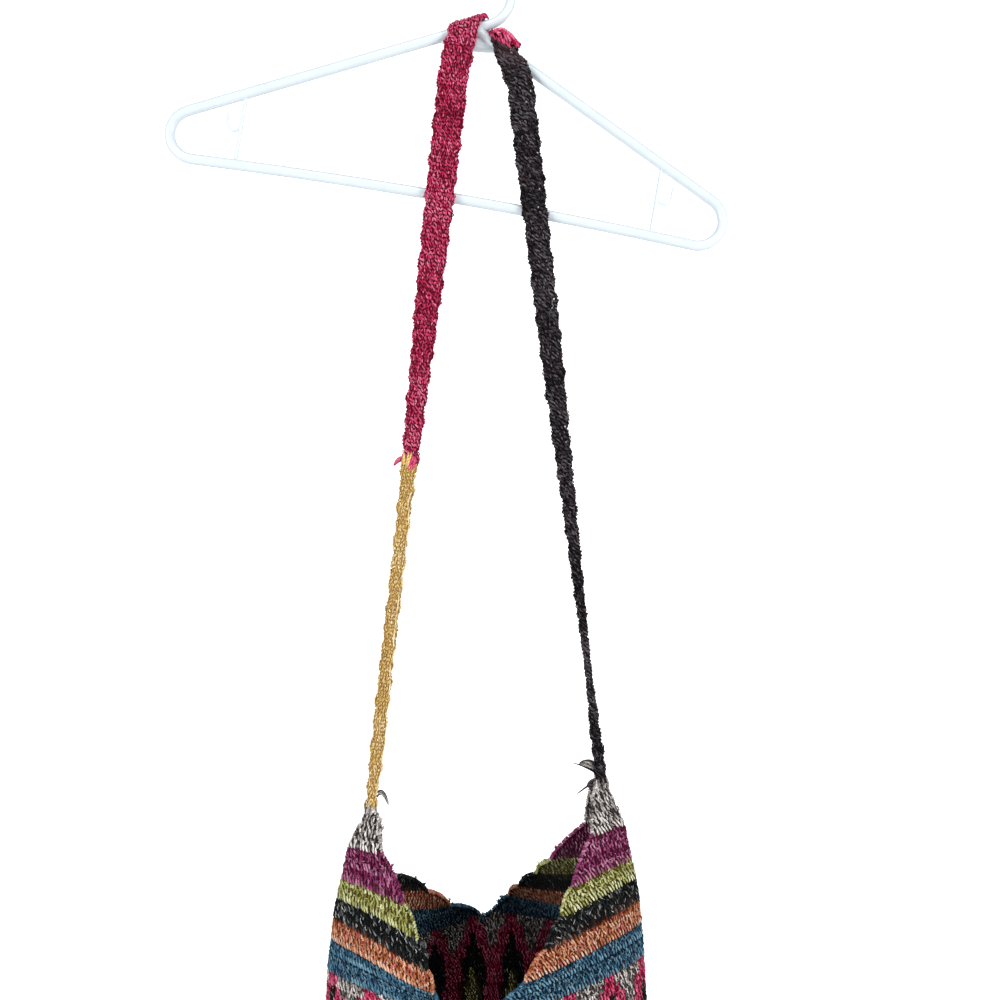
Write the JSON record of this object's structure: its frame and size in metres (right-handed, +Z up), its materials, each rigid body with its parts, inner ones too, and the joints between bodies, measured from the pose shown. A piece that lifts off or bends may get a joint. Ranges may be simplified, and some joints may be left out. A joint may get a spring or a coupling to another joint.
{
  "type": "crochet bucket bag on a coat hanger",
  "caption": "Striped crochet bucket bag with two peaks, a V mouth and a long tapered strap, hung over the neck of a white tubular coat hanger with bottom bar and hook.",
  "frame": {"origin": "the seat inside the top of the hanger's hook, where a rail carries it", "axes": "+Z up, +X to the right seen from the front, the front of the bag toward -Y"},
  "size_m": [0.4143, 0.168, 0.959],
  "materials": {
    "yarn_blue": "matt twisted yarn",
    "yarn_gold": "matt twisted yarn",
    "yarn_rose": "matt twisted yarn",
    "yarn_charcoal": "matt twisted yarn",
    "yarn_grey": "matt twisted yarn",
    "yarn_purple": "matt twisted yarn",
    "yarn_green": "matt twisted yarn",
    "yarn_black": "matt twisted yarn",
    "yarn_orange": "matt twisted yarn",
    "hanger_plastic": "smooth, glossy"
  },
  "bodies": {
    "root": {"bag_body": "yarn_blue", "strap_gold": "yarn_gold", "strap_rose": "yarn_rose", "strap_charcoal": "yarn_charcoal", "tail_rose": "yarn_rose", "tail_left": "yarn_grey", "tail_fan": "yarn_grey", "tail_right": "yarn_charcoal", "hanger": "hanger_plastic"}
  },
  "joints": []
}
